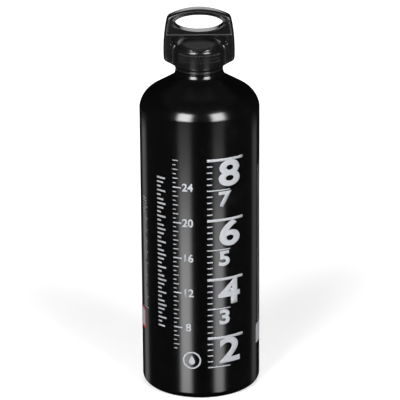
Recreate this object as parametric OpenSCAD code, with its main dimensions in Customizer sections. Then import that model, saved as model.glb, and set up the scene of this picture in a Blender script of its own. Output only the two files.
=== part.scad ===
// Camping fuel bottle: a one-piece aluminium flask closed by a press-and-turn loop cap.
// Millimetres, +Z up. The origin is the centre of the foot on the ground.
// The broad face of the cap's loop looks along -Y.

/* [Bottle] */
// Outside diameter of the body
body_d = 80; // [72:1:90]
// Height where the straight wall ends and the shoulder begins
wall_top_z = 196.5; // [150:0.5:240]
// Thickness of the wall
wall_t = 1.0; // [0.8:0.1:1.5]
// Thickness of the bottom
floor_t = 1.6; // [1.2:0.1:2.4]
// Radius of the rounded edge round the foot
foot_edge_r = 5; // [3:0.5:7]
// Width of the flat ring that the bottle stands on
foot_ring_w = 4; // [2:0.5:6]
// Rise of the domed bottom above the ground
dome_rise = 5; // [3:0.5:8]
// Radius of the bend from wall to shoulder
shoulder_r = 12; // [8:0.5:15]
// Slope of the shoulder from the horizontal, degrees
shoulder_slope = 30; // [25:1:38]

/* [Neck] */
// Outside diameter of the neck at its narrowest
neck_d = 31.8; // [31:0.1:33]
// Radius of the hollow curve from shoulder to neck
neck_fillet_r = 6; // [4:0.5:8]
// Straight length of the neck under the mouth
neck_land = 0.2; // [0.1:0.1:3]
// Diameter of the neck's bore, at the outside of the thread
bore_d = 28.3; // [27.6:0.1:28.8]
// Length of the bore, from the mouth down
bore_l = 15.6; // [12:0.2:18]
// Thickness of the collar at the bore's lower end
collar_t = 1.8; // [1.2:0.1:2.4]
// Bevel at the mouth and at the bore's lower end
bore_bevel = 0.5; // [0.3:0.1:0.8]

/* [Seal] */
// Inside diameter of the seal ring
seal_d = 26.4; // [26:0.1:26.8]
// Width of the seal ring between its inside and its outside
seal_w = 2.2; // [1.8:0.1:2.4]
// Height of the seal ring as the closed cap squeezes it
seal_h = 1.2; // [1:0.1:1.8]

/* [Plug] */
// Diameter of the plug's stem at the root of its thread
stem_d = 25.4; // [24.6:0.1:25.8]
// Length of the stem below the mouth
stem_l = 15; // [11:0.2:15.2]
// Wall of the hollow stem
stem_wall = 2.2; // [1.6:0.1:3]
// Thickness of the flange that presses the seal down
flange_t = 0.7; // [0.6:0.1:1.1]
// Thickness of the web that closes the stem
web_t = 2.4; // [1.6:0.2:3]
// Diameter of the drum that turns inside the cap
drum_d = 27.1; // [26.6:0.1:27.2]
// Height of the drum above the flange
drum_h = 7.9; // [7.4:0.1:8.4]
// How far the retaining bead stands out of the drum
bead_out = 0.75; // [0.6:0.05:0.8]
// Height of the retaining bead
bead_h = 1.2; // [1:0.1:1.6]

/* [Clutch] */
// Number of teeth on each half
tooth_count = 12; // [8:1:14]
// Height of a tooth
tooth_h = 1.1; // [1:0.05:1.3]
// Width of a tooth at its root
tooth_root_w = 2.6; // [2:0.1:2.8]
// Width of a tooth at its tip
tooth_tip_w = 1.3; // [1:0.1:1.6]
// Length of a tooth along the radius
tooth_l = 3.4; // [2.6:0.1:3.6]
// Gap between the tips while the cap isn't pressed
tooth_gap = 0.25; // [0.2:0.05:0.35]
// How far the cap can be pressed down
press_travel = 1.0; // [0.6:0.05:1.05]

/* [Spring] */
// Inside diameter of the wave spring
spring_d = 12.6; // [12:0.2:13]
// Width of the spring's strip
spring_w = 2.3; // [1.8:0.1:2.4]
// Thickness of the spring's strip
spring_t = 0.35; // [0.25:0.05:0.5]
// Number of waves round the spring
wave_count = 4; // [3:1:6]
// Depth of the seat that the spring lies in, below the drum's top
spring_seat_depth = 0.1; // [0.1:0.1:0.6]
// Height of the boss that keeps the spring central
spring_boss_h = 1.0; // [0.6:0.1:1.2]

/* [Cap] */
// Outside diameter of the skirt
skirt_d = 32.8; // [32.4:0.1:34]
// Height of the skirt
skirt_h = 15; // [14.4:0.1:15.6]
// Wall of the skirt
skirt_wall = 1.7; // [1.4:0.05:1.8]
// Rounding of the skirt's upper edge
skirt_edge_r = 1.8; // [1.2:0.1:2.2]
// How far the snap lip inside the skirt stands in
lip_in = 0.8; // [0.6:0.05:0.85]
// Height of the snap lip
lip_h = 1.6; // [1.2:0.1:2]
// Overall width of the wings at their widest
wing_span = 47.1; // [44:0.1:54]
// Height of the widest point of the wings above the skirt's lower edge
wing_mid_h = 10.2; // [8:0.2:13]
// Radius of the long curve down each side of the cap
side_r = 98; // [70:1:160]
// Radius of the rounded lower corner of each wing
wing_corner_r = 3.5; // [2:0.1:4]
// Rise of the wings' underside from the horizontal, degrees
wing_slope = 27; // [20:1:35]
// Radius of the hollow curve from each wing's face to the skirt
wing_root_r = 8; // [5:0.5:8.5]
// Height above the skirt's upper edge where that curve has run out
wing_root_h = 1.4; // [0.8:0.1:1.6]
// Thickness of the wings and of the loop, front to back
handle_t = 9; // [7:0.2:10]
// Rounding of the handle's outer edges
handle_edge_r = 2.2; // [1:0.1:3]

/* [Loop] */
// Height of the loop's top above the skirt's upper edge
loop_h = 23.4; // [22.6:0.1:26]
// Radius of the arch over the loop
arch_r = 43; // [36:1:60]
// Radius of the arch's outer corners
arch_corner_r = 4.5; // [3.5:0.1:6]
// Width of the finger hole
hole_w = 31.8; // [26:0.2:33]
// Height of the finger hole
hole_h = 11.4; // [9:0.2:12]
// Distance from the top of the arch down to the hole
arch_t = 3.8; // [3.4:0.1:5]
// Rounding of the hole's edges, cut as a bevel
hole_bevel = 0.8; // [0.4:0.1:1]
// Width of the raised lip round the hole
hole_lip_w = 1.3; // [0.8:0.1:1.6]
// Width of the raised rim along the outside of the loop
rim_w = 1.9; // [1.2:0.1:2.2]
// Depth of the sunk panel between rim and hole, on each side
panel_depth = 0.8; // [0.4:0.1:1.2]
// Height of the cross rib's upper edge above the skirt's upper edge
rib_top_h = 7.1; // [6.8:0.1:7.2]
// Height of the cross rib
rib_h = 2.5; // [1.6:0.1:2.7]
// Width of the finger pocket under the rib
pocket_top_w = 36.6; // [30:0.2:38]
// Height of the finger pocket at its sides
pocket_side_h = 2.9; // [2:0.1:3.4]
// Width of the finger pocket at its foot
pocket_foot_w = 22; // [18:0.5:24]
// Thickness of the web between the two pockets
pocket_web_t = 2.6; // [2:0.1:3.6]
// Slope of the cove where it meets the web, degrees
cove_slope = 30; // [24:1:32]

/* [Hidden] */
$fn = 96;
arc_steps = 10;
edge_steps = 8;
oval_steps = 48;
cut = 1;
sliver = 0.02;
root = 0.3;

body_r = body_d / 2;
neck_r = neck_d / 2;
bore_r = bore_d / 2;
stem_r = stem_d / 2;
skirt_r = skirt_d / 2;
drum_r = drum_d / 2;

// The bottle's bends: shoulder_c is the centre of the shoulder's arc, neck_c of the neck's hollow arc.
slope_n = [sin(shoulder_slope), cos(shoulder_slope)];
shoulder_c = [body_r - shoulder_r, wall_top_z];
neck_c_r = neck_r + neck_fillet_r;
neck_c = [neck_c_r, wall_top_z
    + (shoulder_r + neck_fillet_r - slope_n.x * (neck_c_r - shoulder_c.x)) / slope_n.y];
mouth_z = neck_c.y + neck_land;
bore_end_z = mouth_z - bore_l;
collar_r = bore_r + collar_t;

// The foot: a flat ring, then a shallow dome.
ring_inner_r = body_r - foot_edge_r - foot_ring_w;
dome_r = (ring_inner_r ^ 2 + dome_rise ^ 2) / (2 * dome_rise);
dome_c = [0, dome_rise - dome_r];

// Heights up through the closure.
stop_gap = 0.2;
seal_top_z = mouth_z + seal_h;
flange_top_z = seal_top_z + flange_t;
skirt_z = flange_top_z + press_travel + stop_gap;
lip_top_z = skirt_z + lip_h;
bead_z = lip_top_z + stop_gap;
drum_top_z = flange_top_z + drum_h;
tooth_top_z = drum_top_z + tooth_h;
ceiling_z = tooth_top_z + tooth_gap + tooth_h;
skirt_top_z = skirt_z + skirt_h;
skirt_inner_r = skirt_r - skirt_wall;
tooth_setback = 0.35;
tooth_lean = 0.15;
tooth_inner_r = drum_r - tooth_setback - tooth_l;
stem_bore_r = stem_r - stem_wall;

// The spring fills the space from its seat to the ceiling, less a hair at each side.
spring_fit = 0.05;
seat_z = drum_top_z - spring_seat_depth;
spring_free_h = ceiling_z - seat_z - 2 * spring_fit;
wave_steps = 24;
spring_steps = wave_steps * wave_count;
seat_clearance = 0.5;

// Heights and curves of the loop.
loop_top_z = skirt_top_z + loop_h;
rib_top_z = skirt_top_z + rib_top_h;
rib_z = rib_top_z - rib_h;
pocket_sink = 0.8;
hole_z = loop_top_z - arch_t - hole_h / 2;
arch_c = [0, loop_top_z - arch_r];
side_c = [wing_span / 2 - side_r, skirt_z + wing_mid_h];
under_dir = [cos(wing_slope), sin(wing_slope)];
under_up = [-sin(wing_slope), cos(wing_slope)];
under_start = [skirt_r, skirt_z];

// The cove runs up from the skirt's upper edge and ends inside the web.
cove_out_r = skirt_r - skirt_edge_r;
cove_end_r = pocket_web_t / 4;
cove_r = (cove_out_r - pocket_web_t / 2) / sin(cove_slope);
cove_c = [cove_out_r, skirt_top_z + cove_r];
cove_end_a = -90 - asin((cove_out_r - cove_end_r) / cove_r);

// Each wing's root: an arc about wing_root_c that bites a hair into the skirt and into the wing's face.
bite = 0.04;
wing_root_y = handle_t / 2 - bite + wing_root_r;
wing_root_reach = skirt_r - bite + wing_root_r;
wing_root_c = [sqrt(wing_root_reach ^ 2 - wing_root_y ^ 2), wing_root_y];
wing_root_half_w = wing_root_y * (1 - wing_root_r / wing_root_reach);

// Points along an arc about c, from angle a to angle b.
function arc(c, r, a, b, n = arc_steps) =
    [for (i = [0:n]) c + r * [cos(a + (b - a) * i / n), sin(a + (b - a) * i / n)]];

function direction(a, b) = atan2(b.y - a.y, b.x - a.x);

// The right-hand crossing of two circles.
function circles_meet(a, ra, b, rb) =
    let (d = norm(b - a), u = (b - a) / d, t = (d ^ 2 + ra ^ 2 - rb ^ 2) / (2 * d))
    a + t * u + sqrt(ra ^ 2 - t ^ 2) * [-u.y, u.x];

// The far crossing of a line from p along d with a circle.
function line_meets(p, d, c, r) =
    let (b = (p - c) * d)
    p + d * (sqrt(b ^ 2 - (p - c) * (p - c) + r ^ 2) - b);

// Half of the cap's front outline, drawn in by inset all round.
function half_outline(inset = 0) =
    let (
        top_k = circles_meet(side_c, side_r - arch_corner_r, arch_c, arch_r - arch_corner_r),
        low_start = under_start + under_up * wing_corner_r,
        low_k = line_meets(low_start, under_dir, side_c, side_r - wing_corner_r),
        top_a = direction(arch_c, top_k),
        side_a = direction(side_c, top_k),
        low_a = direction(side_c, low_k)
    )
    concat(
        arc(arch_c, arch_r - inset, 90, top_a),
        arc(top_k, arch_corner_r - inset, top_a, side_a),
        arc(side_c, side_r - inset, side_a, low_a),
        arc(low_k, wing_corner_r - inset, low_a, wing_slope - 90)
    );

module cap_outline(inset = 0) {
    half = half_outline(inset);
    left = [for (i = [len(half) - 1:-1:1]) [-half[i].x, half[i].y]];
    foot = under_start + under_up * inset;
    polygon(concat(half, [foot, [-foot.x, foot.y]], left));
}

// Stands a flat shape drawn in X and Z upright, t thick about y = 0.
module upright(t) {
    rotate([90, 0, 0])
        linear_extrude(height = t, center = true)
            children();
}

module bottle_outside() {
    polygon(concat(
        [[0, 0], [0, dome_rise]],
        arc(dome_c, dome_r, 90, direction(dome_c, [ring_inner_r, 0])),
        arc([body_r - foot_edge_r, foot_edge_r], foot_edge_r, -90, 0),
        arc(shoulder_c, shoulder_r, 0, 90 - shoulder_slope),
        arc(neck_c, neck_fillet_r, 270 - shoulder_slope, 180),
        [[neck_r, mouth_z], [0, mouth_z]]
    ));
}

module bottle_cavity() {
    inner_corner_r = foot_edge_r - wall_t;
    corner_c = [body_r - foot_edge_r, floor_t + inner_corner_r];
    inner_dome_r = dome_r + floor_t;
    dome_end_r = sqrt(inner_dome_r ^ 2 - (floor_t - dome_c.y) ^ 2);
    root_r = neck_c_r;
    root_z = shoulder_c.y
        + (shoulder_r - wall_t - slope_n.x * (root_r - shoulder_c.x)) / slope_n.y;
    polygon(concat(
        arc(dome_c, inner_dome_r, 90, direction(dome_c, [dome_end_r, floor_t])),
        arc(corner_c, inner_corner_r, -90, 0),
        arc(shoulder_c, shoulder_r - wall_t, 0, 90 - shoulder_slope),
        [
            [root_r, root_z],
            [collar_r, bore_end_z + collar_t],
            [collar_r - bore_bevel, bore_end_z],
            [bore_r + bore_bevel, bore_end_z],
            [bore_r, bore_end_z + bore_bevel],
            [bore_r, mouth_z - bore_bevel],
            [bore_r + bore_bevel, mouth_z],
            [bore_r + bore_bevel, mouth_z + cut],
            [0, mouth_z + cut]
        ]
    ));
}

module bottle_shell() {
    color("dimgray")
        rotate_extrude()
            difference() {
                bottle_outside();
                bottle_cavity();
            }
}

// Squeezed between flange and mouth, its section is flat above and below and round at both sides.
module seal_ring() {
    r = seal_h / 2;
    z = mouth_z + r;
    color("black")
        rotate_extrude()
            polygon(concat(
                arc([seal_d / 2 + r, z], r, 270, 90),
                arc([seal_d / 2 + seal_w - r, z], r, 90, -90)
            ));
}

// One clutch tooth along +X: one steep flank drives, the long one lets the other half ride over it.
module clutch_tooth(z, up) {
    steep = tooth_root_w / 2 - tooth_lean;
    translate([tooth_inner_r, 0, z])
        rotate([90, 0, 90])
            linear_extrude(height = tooth_l)
                polygon([
                    [-tooth_root_w / 2, 0],
                    [-tooth_root_w / 2, -up * root],
                    [tooth_root_w / 2, -up * root],
                    [tooth_root_w / 2, 0],
                    [steep, up * tooth_h],
                    [steep - tooth_tip_w, up * tooth_h]
                ]);
}

module clutch_ring(z, up, phase) {
    for (i = [0:tooth_count - 1])
        rotate([0, 0, (i + phase) * 360 / tooth_count])
            clutch_tooth(z, up);
}

module plug() {
    seat_r = spring_d / 2 + spring_w + seat_clearance;
    boss_r = spring_d / 2 - seat_clearance;
    bead_r = drum_r + bead_out;
    bevel = bead_out / 2;
    end_z = mouth_z - stem_l;
    web_z = drum_top_z - spring_seat_depth - web_t;
    color("gray") {
        rotate_extrude()
            polygon([
                [0, web_z],
                [stem_bore_r, web_z],
                [stem_bore_r, end_z],
                [stem_r - bore_bevel, end_z],
                [stem_r, end_z + bore_bevel],
                [stem_r, seal_top_z],
                [neck_r, seal_top_z],
                [neck_r, flange_top_z],
                [drum_r, flange_top_z],
                [drum_r, bead_z],
                [bead_r, bead_z],
                [bead_r, bead_z + bead_h - bevel],
                [drum_r, bead_z + bead_h + bevel],
                [drum_r, drum_top_z],
                [seat_r, drum_top_z],
                [seat_r, seat_z],
                [boss_r, seat_z],
                [boss_r, seat_z + spring_boss_h],
                [0, seat_z + spring_boss_h]
            ]);
        clutch_ring(drum_top_z, 1, 0);
    }
}

// A flat strip that waves up and down round its ring, touching seat and ceiling by turns.
module wave_spring() {
    inner_r = spring_d / 2;
    mid_z = seat_z + spring_fit + spring_free_h / 2;
    swing = (spring_free_h - spring_t) / 2;
    section = [[0, -1], [1, -1], [1, 1], [0, 1]];
    points = [
        for (i = [0:spring_steps - 1])
            let (a = 360 * i / spring_steps, z = mid_z + swing * cos(wave_count * a))
            for (s = section)
                let (r = inner_r + spring_w * s.x)
                [r * cos(a), r * sin(a), z + s.y * spring_t / 2]
    ];
    faces = [
        for (i = [0:spring_steps - 1])
            let (a = 4 * i, b = 4 * ((i + 1) % spring_steps))
            for (k = [0:3])
                let (m = (k + 1) % 4)
                for (t = [[a + k, a + m, b + m], [a + k, b + m, b + k]])
                    t
    ];
    color("silver")
        polyhedron(points = points, faces = faces);
}

// The round body of the cap, from the skirt up through the cove into the web.
module cap_round() {
    rotate_extrude()
        polygon(concat(
            [[0, skirt_z], [skirt_r, skirt_z]],
            arc([skirt_r - skirt_edge_r, skirt_top_z - skirt_edge_r], skirt_edge_r, 0, 90),
            arc(cove_c, cove_r, -90, cove_end_a),
            [[0, cove_c.y + cove_r * sin(cove_end_a)]]
        ));
}

module cap_hollow() {
    lip_r = skirt_inner_r - lip_in;
    rotate_extrude()
        polygon([
            [0, skirt_z - cut],
            [lip_r, skirt_z - cut],
            [lip_r, lip_top_z - lip_in / 2],
            [lip_r + lip_in / 2, lip_top_z],
            [skirt_inner_r, lip_top_z],
            [skirt_inner_r, ceiling_z],
            [0, ceiling_z]
        ]);
}

// A quarter of the plate seen from above: the wing's rounded end, then its hollow root.
function plan_quarter() =
    let (edge = [wing_span / 2 - handle_edge_r, handle_t / 2 - handle_edge_r])
    concat(
        arc(edge, handle_edge_r, 0, 90, edge_steps),
        arc(wing_root_c, wing_root_r, 270, direction(wing_root_c, [0, 0]) + 360)
    );

function turned(points, x, y) = [for (p = points) [x * p.x, y * p.y]];

function reversed(points) = [for (i = [len(points) - 1:-1:0]) points[i]];

// The wings and the loop as one plate, rounded where hand and cord touch it.
module handle_blank() {
    inner_y = handle_t / 2 - handle_edge_r;
    quarter = plan_quarter();
    intersection() {
        upright(2 * wing_root_half_w + cut)
            cap_outline();
        translate([0, 0, skirt_z])
            linear_extrude(height = loop_top_z - skirt_z)
                polygon(concat(
                    quarter,
                    reversed(turned(quarter, -1, 1)),
                    turned(quarter, -1, -1),
                    reversed(turned(quarter, 1, -1))
                ));
        translate([-wing_span / 2, 0, 0])
            rotate([90, 0, 90])
                linear_extrude(height = wing_span)
                    polygon(concat(
                        [
                            [-wing_root_half_w, skirt_z],
                            [wing_root_half_w, skirt_z],
                            [wing_root_half_w, skirt_top_z - skirt_edge_r],
                            [handle_t / 2, skirt_top_z + wing_root_h]
                        ],
                        arc([inner_y, loop_top_z - handle_edge_r], handle_edge_r, 0, 90, edge_steps),
                        arc([-inner_y, loop_top_z - handle_edge_r], handle_edge_r, 90, 180, edge_steps),
                        [
                            [-handle_t / 2, skirt_top_z + wing_root_h],
                            [-wing_root_half_w, skirt_top_z - skirt_edge_r]
                        ]
                    ));
    }
}

module hole_oval(grow) {
    polygon([
        for (i = [0:oval_steps - 1])
            let (a = 360 * i / oval_steps)
            [(hole_w / 2 + grow) * cos(a), (hole_h / 2 + grow) * sin(a)]
    ]);
}

module finger_hole() {
    translate([0, 0, hole_z])
        upright(handle_t + 2 * cut)
            hole_oval(0);
}

// The bevel at one mouth of the hole: an oval funnel that runs on past both ends of the bevel.
module hole_mouth(side) {
    grow = 2 * hole_bevel / hole_h;
    hull()
        for (step = [-1, 2])
            translate([0, side * (handle_t / 2 + (step - 1) * hole_bevel), hole_z])
                scale([1 + step * grow, 1, 1 + step * grow])
                    upright(sliver)
                        hole_oval(0);
}

module sunk_panel(side) {
    translate([0, side * (handle_t / 2 - panel_depth / 2 + cut / 2), 0])
        upright(panel_depth + cut)
            difference() {
                intersection() {
                    cap_outline(rim_w);
                    translate([-wing_span / 2, rib_top_z])
                        square([wing_span, loop_h]);
                }
                translate([0, hole_z])
                    hole_oval(hole_lip_w);
            }
}

module finger_pocket(side) {
    depth = skirt_r;
    translate([0, side * (pocket_web_t / 2 + depth / 2), 0])
        upright(depth)
            polygon([
                [-pocket_foot_w / 2, skirt_top_z - pocket_sink],
                [pocket_foot_w / 2, skirt_top_z - pocket_sink],
                [pocket_top_w / 2, rib_z - pocket_side_h],
                [pocket_top_w / 2, rib_z],
                [-pocket_top_w / 2, rib_z],
                [-pocket_top_w / 2, rib_z - pocket_side_h]
            ]);
}

module cap_shell() {
    color("darkslategray") {
        difference() {
            union() {
                cap_round();
                difference() {
                    handle_blank();
                    finger_pocket(1);
                    finger_pocket(-1);
                    sunk_panel(1);
                    sunk_panel(-1);
                    finger_hole();
                    hole_mouth(1);
                    hole_mouth(-1);
                }
            }
            cap_hollow();
        }
        clutch_ring(ceiling_z, -1, 0.5);
    }
}

bottle_shell();
seal_ring();
plug();
wave_spring();
cap_shell();
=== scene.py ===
# Camping fuel bottle: a satin black aluminium flask with a press-and-turn loop cap.
# Lengths in the dictionaries are millimetres, angles are degrees; meshes are in metres.
import math

import bmesh
import bpy
import numpy as np
from mathutils import Matrix, Vector


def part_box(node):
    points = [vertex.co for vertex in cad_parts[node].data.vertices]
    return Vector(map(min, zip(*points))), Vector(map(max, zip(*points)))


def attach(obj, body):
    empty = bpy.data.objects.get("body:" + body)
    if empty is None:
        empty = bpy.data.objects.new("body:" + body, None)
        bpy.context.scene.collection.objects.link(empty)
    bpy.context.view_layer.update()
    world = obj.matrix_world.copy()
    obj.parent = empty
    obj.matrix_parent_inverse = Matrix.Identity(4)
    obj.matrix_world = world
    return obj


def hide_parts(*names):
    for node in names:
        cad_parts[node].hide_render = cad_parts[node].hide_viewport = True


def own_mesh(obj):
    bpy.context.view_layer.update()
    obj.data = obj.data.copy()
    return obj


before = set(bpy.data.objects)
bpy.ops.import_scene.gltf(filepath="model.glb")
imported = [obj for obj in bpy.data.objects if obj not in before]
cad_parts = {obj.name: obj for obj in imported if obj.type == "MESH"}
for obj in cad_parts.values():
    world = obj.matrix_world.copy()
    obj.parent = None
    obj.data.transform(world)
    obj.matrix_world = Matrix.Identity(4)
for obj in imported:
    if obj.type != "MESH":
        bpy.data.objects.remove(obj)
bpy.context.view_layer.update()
scene = bpy.context.scene
mm = 0.001


def nodeBox(name):
    # a node's corners in millimetres
    return [[value / mm for value in corner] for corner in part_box(name)]


def linked(name, data):
    thing = bpy.data.objects.new(name, data)
    scene.collection.objects.link(thing)
    return thing


# Camera: fitted to the photograph's outline
view = {
    "distance": 1748.0,      # from the aim point on the bottle's axis
    "down": 19.46,           # how far the camera looks down
    "aimHeight": 128.85,
    "focal": 2599.6,         # in pixels of a 400 pixel wide frame
    "frameWidth": 400,
    "sensor": 36.0,
    "roll": 0.368,
    "sideways": 0.07,        # pixels by which the axis lies off the frame's middle
}


def makeCamera(spec):
    data = bpy.data.cameras.new("photoCamera")
    data.sensor_width = spec["sensor"]
    data.lens = spec["focal"] / spec["frameWidth"] * spec["sensor"]
    data.shift_x = -spec["sideways"] / spec["frameWidth"]
    camera = linked("photoCamera", data)
    down = math.radians(spec["down"])
    distance = spec["distance"] * mm
    aim = Vector((0, 0, spec["aimHeight"] * mm))
    camera.location = aim + Vector((0, -distance * math.cos(down), distance * math.sin(down)))
    turn = (aim - camera.location).to_track_quat("-Z", "Y")
    roll = Matrix.Rotation(math.radians(-spec["roll"]), 4, "Z")
    camera.rotation_mode = "QUATERNION"
    camera.rotation_quaternion = (turn.to_matrix().to_4x4() @ roll).to_quaternion()
    scene.camera = camera


makeCamera(view)
print("camera ready")


class Wire:
    # one socket of a node tree; sums on it add Math nodes
    def __init__(self, tree, socket):
        self.tree = tree
        self.socket = socket

    def sum(self, operation, *values):
        node = self.tree.nodes.new("ShaderNodeMath")
        node.operation = operation
        for slot, value in zip(node.inputs, values):
            feed(self.tree, slot, value)
        return Wire(self.tree, node.outputs[0])

    def __add__(self, other):
        return self.sum("ADD", self, other)

    def __radd__(self, other):
        return self.sum("ADD", other, self)

    def __sub__(self, other):
        return self.sum("SUBTRACT", self, other)

    def __rsub__(self, other):
        return self.sum("SUBTRACT", other, self)

    def __mul__(self, other):
        return self.sum("MULTIPLY", self, other)

    def __rmul__(self, other):
        return self.sum("MULTIPLY", other, self)

    def __truediv__(self, other):
        return self.sum("DIVIDE", self, other)

    def __rtruediv__(self, other):
        return self.sum("DIVIDE", other, self)

    def __mod__(self, other):
        return self.sum("FLOORED_MODULO", self, other)

    def lessThan(self, other):
        return self.sum("LESS_THAN", self, other)

    def sine(self):
        return self.sum("SINE", self)

    def cosine(self):
        return self.sum("COSINE", self)


def feed(tree, slot, value):
    # a socket takes a link, a number or a colour
    if isinstance(value, Wire):
        tree.links.new(value.socket, slot)
    else:
        slot.default_value = value


class Graph:
    # a node tree being built, with one way to add any node
    def add(self, kind, settings=None, values=None, outlet=0):
        node = self.tree.nodes.new(kind)
        for key, value in (settings or {}).items():
            if key == "stops":
                self.setStops(node.color_ramp, value)
            else:
                setattr(node, key, value)
        for slot, value in (values or {}).items():
            feed(self.tree, node.inputs[slot], value)
        return Wire(self.tree, node.outputs[outlet])

    def setStops(self, ramp, stops):
        while len(ramp.elements) < len(stops):
            ramp.elements.new(1.0)
        for element, (position, level) in zip(ramp.elements, stops):
            element.position = position
            element.color = (level, level, level, 1.0)

    def axes(self, vector):
        split = self.add("ShaderNodeSeparateXYZ", values={0: vector})
        return [Wire(self.tree, split.socket.node.outputs[i]) for i in range(3)]

    def vector(self, x, y, z):
        return self.add("ShaderNodeCombineXYZ", values={0: x, 1: y, 2: z})

    def rise(self, value, low, high):
        # a soft step from 0 at low to 1 at high
        values = {"Value": value, "From Min": low, "From Max": high}
        return self.add("ShaderNodeMapRange", {"interpolation_type": "SMOOTHSTEP"}, values)


class Finish(Graph):
    # a material with its shader and its object coordinates
    def __init__(self, name, constants):
        self.material = bpy.data.materials.new(name)
        self.material.use_nodes = True
        self.tree = self.material.node_tree
        self.shader = self.tree.nodes["Principled BSDF"]
        self.place = self.add("ShaderNodeTexCoord", outlet="Object")
        for slot, value in constants.items():
            self.shader.inputs[slot].default_value = value

    def noise(self, size, detail=2.0, roughness=0.5, stretch=None):
        # size is the width in millimetres of one blotch
        place = self.place
        if stretch:
            place = self.add("ShaderNodeMapping", values={"Vector": place, "Scale": stretch})
        values = {"Vector": place, "Scale": 1 / (size * mm), "Detail": detail, "Roughness": roughness}
        return self.add("ShaderNodeTexNoise", {"noise_dimensions": "3D"}, values)

    def blend(self, factor, first, second):
        # inputs 6 and 7 are the colour pair of a Mix node
        values = {0: factor, 6: first, 7: second}
        return self.add("ShaderNodeMix", {"data_type": "RGBA"}, values, outlet=2)

    def bump(self, height, depth):
        # depth is the real height of the relief in millimetres
        return self.add("ShaderNodeBump", values={"Height": height, "Distance": depth * mm})

    def set(self, slot, value):
        feed(self.tree, self.shader.inputs[slot], value)


def outward(mesh):
    # turns the faces of a closed mesh to look out
    work = bmesh.new()
    work.from_mesh(mesh)
    bmesh.ops.recalc_face_normals(work, faces=work.faces)
    if work.calc_volume(signed=True) < 0:
        bmesh.ops.reverse_faces(work, faces=work.faces)
    work.to_mesh(mesh)
    work.free()
    return mesh


class Growth(Graph):
    # geometry nodes that draw in millimetres; numbers holds the tree's named inputs
    def __init__(self, name, numbers):
        self.name = name
        self.numbers = numbers
        self.tree = bpy.data.node_groups.new(name, "GeometryNodeTree")
        self.tree.interface.new_socket("Shape", in_out="OUTPUT", socket_type="NodeSocketGeometry")
        for label, value in numbers.items():
            kind = "NodeSocketInt" if isinstance(value, int) else "NodeSocketFloat"
            self.tree.interface.new_socket(label, in_out="INPUT", socket_type=kind)
        self.given = self.tree.nodes.new("NodeGroupInput")

    def __getitem__(self, label):
        return Wire(self.tree, self.given.outputs[label])

    def spot(self):
        return self.axes(self.add("GeometryNodeInputPosition"))

    def row(self, count, place, item, values):
        # item set at count places; values turn or scale each
        points = self.add("GeometryNodePoints", values={"Count": count, "Position": place})
        values = {"Points": points, "Instance": item, **values}
        return self.add("GeometryNodeInstanceOnPoints", values=values)

    def index(self):
        return self.add("GeometryNodeInputIndex")

    def joined(self, *parts):
        join = self.add("GeometryNodeJoinGeometry")
        for part in parts:
            self.tree.links.new(part.socket, join.socket.node.inputs[0])
        return join

    def strip(self, sides, power):
        # a grid to wind into a ridge: its share from 0 to 1 along, and its section out and up
        values = {"Size X": 1, "Size Y": 1, "Vertices X": self["Steps"] + 1, "Vertices Y": sides + 1}
        x, y, z = self.spot()
        side = (y + 0.5) * 2 * math.pi
        sheet = self.add("GeometryNodeMeshGrid", values=values)
        return sheet, x + 0.5, self.squared(side.cosine(), power), self.squared(side.sine(), power)

    def closed(self, shape, place):
        # moves each point to its place and joins the points that meet there
        shape = self.add("GeometryNodeSetPosition", values={"Geometry": shape, "Position": place})
        return self.add("GeometryNodeMergeByDistance", values={"Geometry": shape, "Distance": 0.001})

    def squared(self, wave, power):
        # flattens a sine or cosine towards a square wave
        return wave.sum("SIGN", wave) * wave.sum("POWER", wave.sum("ABSOLUTE", wave), power)

    def wrapped(self, shape, radius):
        # bends what is drawn in X and Z, with its depth in Y, round the bottle's axis
        across, depth, height = self.spot()
        reach = radius - depth
        turn = across / radius
        place = self.vector(reach * turn.sine(), reach * turn.cosine() * -1, height)
        return self.add("GeometryNodeSetPosition", values={"Geometry": shape, "Position": place})

    def grow(self, shape, material, body, slot=None, flat=False):
        shape = self.add("GeometryNodeRealizeInstances", values={"Geometry": shape})
        shape = self.add("GeometryNodeTransform", values={"Geometry": shape, "Scale": (mm, mm, mm)})
        values = {"Geometry": shape, "Shade Smooth": not flat}
        shape = self.add("GeometryNodeSetShadeSmooth", values=values)
        shape = self.add("GeometryNodeSetMaterial", values={"Geometry": shape, "Material": material})
        result = self.tree.nodes.new("NodeGroupOutput")
        self.tree.links.new(shape.socket, result.inputs[0])
        piece = linked(self.name, bpy.data.meshes.new(self.name + "Seed"))
        modifier = piece.modifiers.new("grow", "NODES")
        modifier.node_group = self.tree
        for item in self.tree.interface.items_tree:
            if item.in_out == "INPUT":
                modifier[item.identifier] = self.numbers[item.name]
        graph = bpy.context.evaluated_depsgraph_get()
        mesh = bpy.data.meshes.new_from_object(piece.evaluated_get(graph))
        piece.modifiers.clear()
        piece.data = outward(mesh)
        mesh.name = self.name
        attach(piece, body)
        return piece


def colour(red, green, blue):
    return (red, green, blue, 1.0)


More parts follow.
